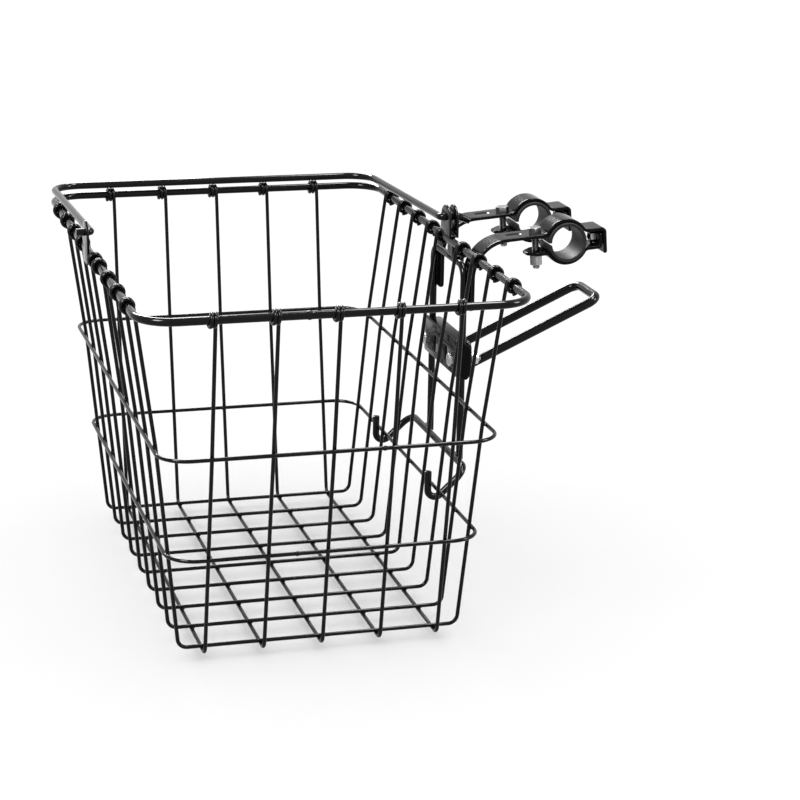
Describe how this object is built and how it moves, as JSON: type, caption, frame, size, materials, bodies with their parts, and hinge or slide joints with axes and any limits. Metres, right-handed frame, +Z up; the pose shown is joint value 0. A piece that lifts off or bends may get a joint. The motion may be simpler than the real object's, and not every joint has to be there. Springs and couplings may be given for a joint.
{
  "type": "handlebar basket",
  "caption": "Welded wire bicycle basket with a swinging bail handle, hung on a bracket that strap clamps hold on the handlebar.",
  "frame": {"origin": "on the handlebar's axis, midway between the two clamps", "axes": "+X towards the rider's left, +Y back towards the rider, +Z up"},
  "size_m": [0.3784, 0.3597, 0.2478],
  "materials": {
    "basket_coat": "gloss",
    "bracket_coat": "gloss",
    "zinc": "bright zinc plate",
    "black_screw": "satin",
    "liner_rubber": "matt"
  },
  "bodies": {
    "bracket": {"left_arm": "bracket_coat", "right_arm": "bracket_coat", "left_clamp_strap": "bracket_coat", "right_clamp_strap": "bracket_coat", "left_liner": "liner_rubber", "right_liner": "liner_rubber", "clamp_bolts": "zinc", "clamp_washers": "zinc", "clamp_nuts": "zinc", "tail_screws": "black_screw", "tail_nuts": "zinc", "hanger_rod": "bracket_coat", "hanger_plate": "bracket_coat", "hook_rod": "bracket_coat", "brace_loop": "bracket_coat", "brace_bolts": "zinc", "brace_washers": "zinc", "brace_nuts": "zinc"},
    "basket": {"top_rim": "basket_coat", "upper_ring": "basket_coat", "lower_ring": "basket_coat", "long_wire_1": "basket_coat", "long_wire_2": "basket_coat", "long_wire_3": "basket_coat", "long_wire_4": "basket_coat", "long_wire_5": "basket_coat", "long_wire_6": "basket_coat", "long_wire_7": "basket_coat", "long_wire_8": "basket_coat", "long_wire_9": "basket_coat", "cross_wire_1": "basket_coat", "cross_wire_2": "basket_coat", "cross_wire_3": "basket_coat", "cross_wire_4": "basket_coat", "cross_wire_5": "basket_coat", "front_clip": "basket_coat", "rear_clip": "basket_coat"},
    "handle": {"bail_handle": "basket_coat"}
  },
  "joints": [
    {"name": "basket_lift", "type": "slide", "parent": "bracket", "child": "basket", "axis": [0, 0, 1], "range_m": [0, 0.04]},
    {"name": "bail_swing", "type": "hinge", "parent": "basket", "child": "handle", "pos_m": [0.0185, -0.1944, 0.015], "axis": [0, 1, 0], "range_deg": [0, 184]}
  ]
}
